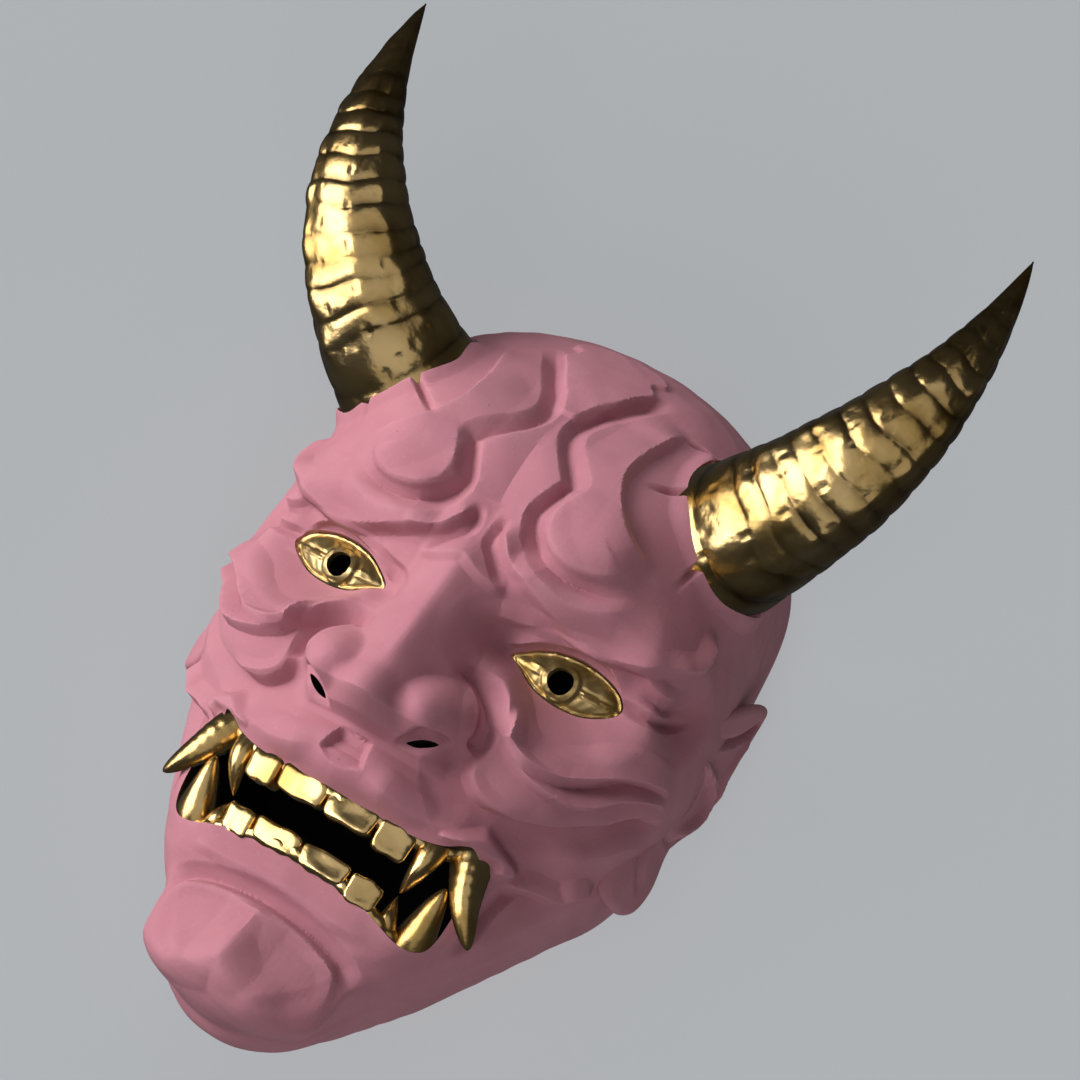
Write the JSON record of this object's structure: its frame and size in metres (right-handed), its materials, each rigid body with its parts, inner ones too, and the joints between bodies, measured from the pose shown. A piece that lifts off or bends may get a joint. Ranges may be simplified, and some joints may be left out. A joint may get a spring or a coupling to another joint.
{
  "type": "oni mask",
  "caption": "Horned oni demon mask in matt pink resin with gilt horns, eyes and fangs, hollow behind for wearing or hanging, lying on its rim.",
  "frame": {"origin": "middle of the mask's bounding box at the height of the rim it lies on", "axes": "+X to the right of somebody looking at the face, +Y from the chin to the crown, +Z out of the face, which is up as the mask lies"},
  "size_m": [0.1946, 0.2682, 0.1007],
  "materials": {
    "resin": "matte, sanded and dusted with pigment",
    "gold": "bright gold plating"
  },
  "bodies": {
    "root": {"mask_face": "resin", "horn_right": "gold", "horn_left": "gold", "eye_right": "gold", "eye_left": "gold", "upper_teeth": "gold", "lower_teeth": "gold"}
  },
  "joints": []
}
